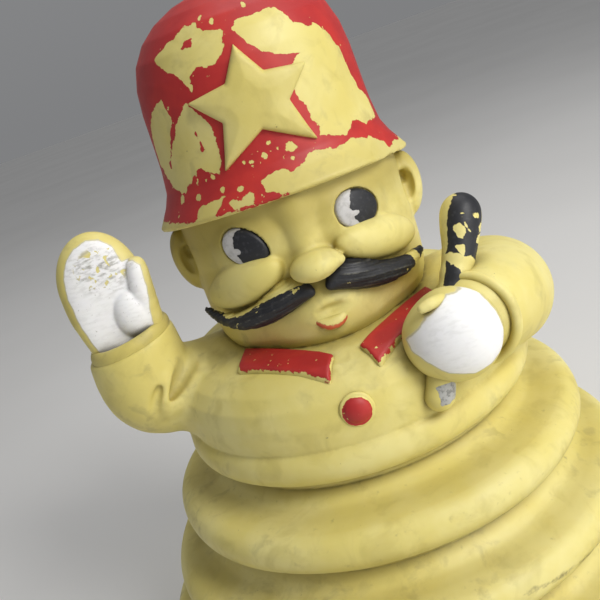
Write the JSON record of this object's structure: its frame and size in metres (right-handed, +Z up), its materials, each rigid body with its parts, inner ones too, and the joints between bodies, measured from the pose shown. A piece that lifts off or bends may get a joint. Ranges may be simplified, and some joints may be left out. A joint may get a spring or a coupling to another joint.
{
  "type": "bellows squeeze toy figure",
  "caption": "Soft vinyl squeeze toy: a bandmaster with a tall starred hat and a baton stands on a round folded bellows that presses down and blows a squeaker.",
  "frame": {"origin": "on the table under the middle of the bellows", "axes": "+Z up, the figure faces -Y, +X is the figure's left-hand side"},
  "size_m": [0.152, 0.152, 0.1897],
  "materials": {
    "aged_vinyl": "soft vinyl, matt, aged and a little dirty",
    "bare_vinyl": "unpainted raised star, matt vinyl",
    "hat_paint": "red paint on vinyl, worn through in large patches",
    "red_paint": "red paint on a raised panel, satin",
    "lip_paint": "trace of red paint on vinyl",
    "black_paint": "black paint on vinyl, chipped",
    "eye_white": "off-white paint, worn",
    "white_paint": "white paint on vinyl, scuffed",
    "silver_paint": "silver paint on vinyl, rubbed",
    "squeaker_metal": "pressed aluminium",
    "reed_brass": "thin brass"
  },
  "bodies": {
    "base": {"foot_and_floor": "aged_vinyl", "valley_4_slope": "aged_vinyl", "squeaker_cup": "squeaker_metal", "squeaker_grille": "squeaker_metal", "reed_plate": "reed_brass", "reed_clamp": "squeaker_metal", "squeaker_retainer": "squeaker_metal"},
    "fold_3": {"fold_3_crest": "aged_vinyl", "valley_3_slope": "aged_vinyl", "valley_4_groove": "aged_vinyl"},
    "fold_2": {"fold_2_crest": "aged_vinyl", "valley_2_slope": "aged_vinyl", "valley_3_groove": "aged_vinyl"},
    "fold_1": {"fold_1_crest": "aged_vinyl", "valley_1_slope": "aged_vinyl", "valley_2_groove": "aged_vinyl"},
    "reed": {"reed": "reed_brass"},
    "figure": {"valley_1_groove": "aged_vinyl", "hem_roll": "aged_vinyl", "coat": "aged_vinyl", "coat_button": "red_paint", "collar_left": "red_paint", "collar_right": "red_paint", "raised_sleeve": "aged_vinyl", "raised_mitten": "white_paint", "raised_thumb": "white_paint", "bent_sleeve": "aged_vinyl", "fist": "white_paint", "fist_thumb": "aged_vinyl", "baton_grip": "black_paint", "baton_ferrule": "silver_paint", "head": "aged_vinyl", "ear_left": "aged_vinyl", "ear_right": "aged_vinyl", "nose": "aged_vinyl", "lower_lip": "lip_paint", "eye_left": "eye_white", "eye_right": "eye_white", "pupil_left": "black_paint", "pupil_right": "black_paint", "moustache_left": "black_paint", "moustache_right": "black_paint", "hat_crown": "hat_paint", "hat_rim": "hat_paint", "hat_star": "bare_vinyl"}
  },
  "joints": [
    {"name": "squeeze", "type": "slide", "parent": "fold_1", "child": "figure", "axis": [0, 0, 1], "range_m": [-0.004, 0], "stiffness_N_per_m": 16000, "springref_m": 0.0007, "deforming": ["valley_1_slope"]},
    {"name": "fold_1_press", "type": "slide", "parent": "fold_2", "child": "fold_1", "axis": [0, 0, 1], "range_m": [-0.0055, 0], "deforming": ["valley_2_slope"]},
    {"name": "fold_2_press", "type": "slide", "parent": "fold_3", "child": "fold_2", "axis": [0, 0, 1], "range_m": [-0.0055, 0], "deforming": ["valley_3_slope"]},
    {"name": "fold_3_press", "type": "slide", "parent": "base", "child": "fold_3", "axis": [0, 0, 1], "range_m": [-0.0021, 0], "deforming": ["valley_4_slope"]},
    {"name": "reed_flutter", "type": "hinge", "parent": "base", "child": "reed", "pos_m": [-0.0035, 0, 0.00566], "axis": [0, -1, 0], "range_deg": [-2.5, 2.5], "stiffness_Nm_per_rad": 0.0002}
  ],
  "couplings": [
    {"joint": "fold_1_press", "follows": "squeeze", "ratio": 1.375},
    {"joint": "fold_2_press", "follows": "squeeze", "ratio": 1.375},
    {"joint": "fold_3_press", "follows": "squeeze", "ratio": 0.525}
  ]
}
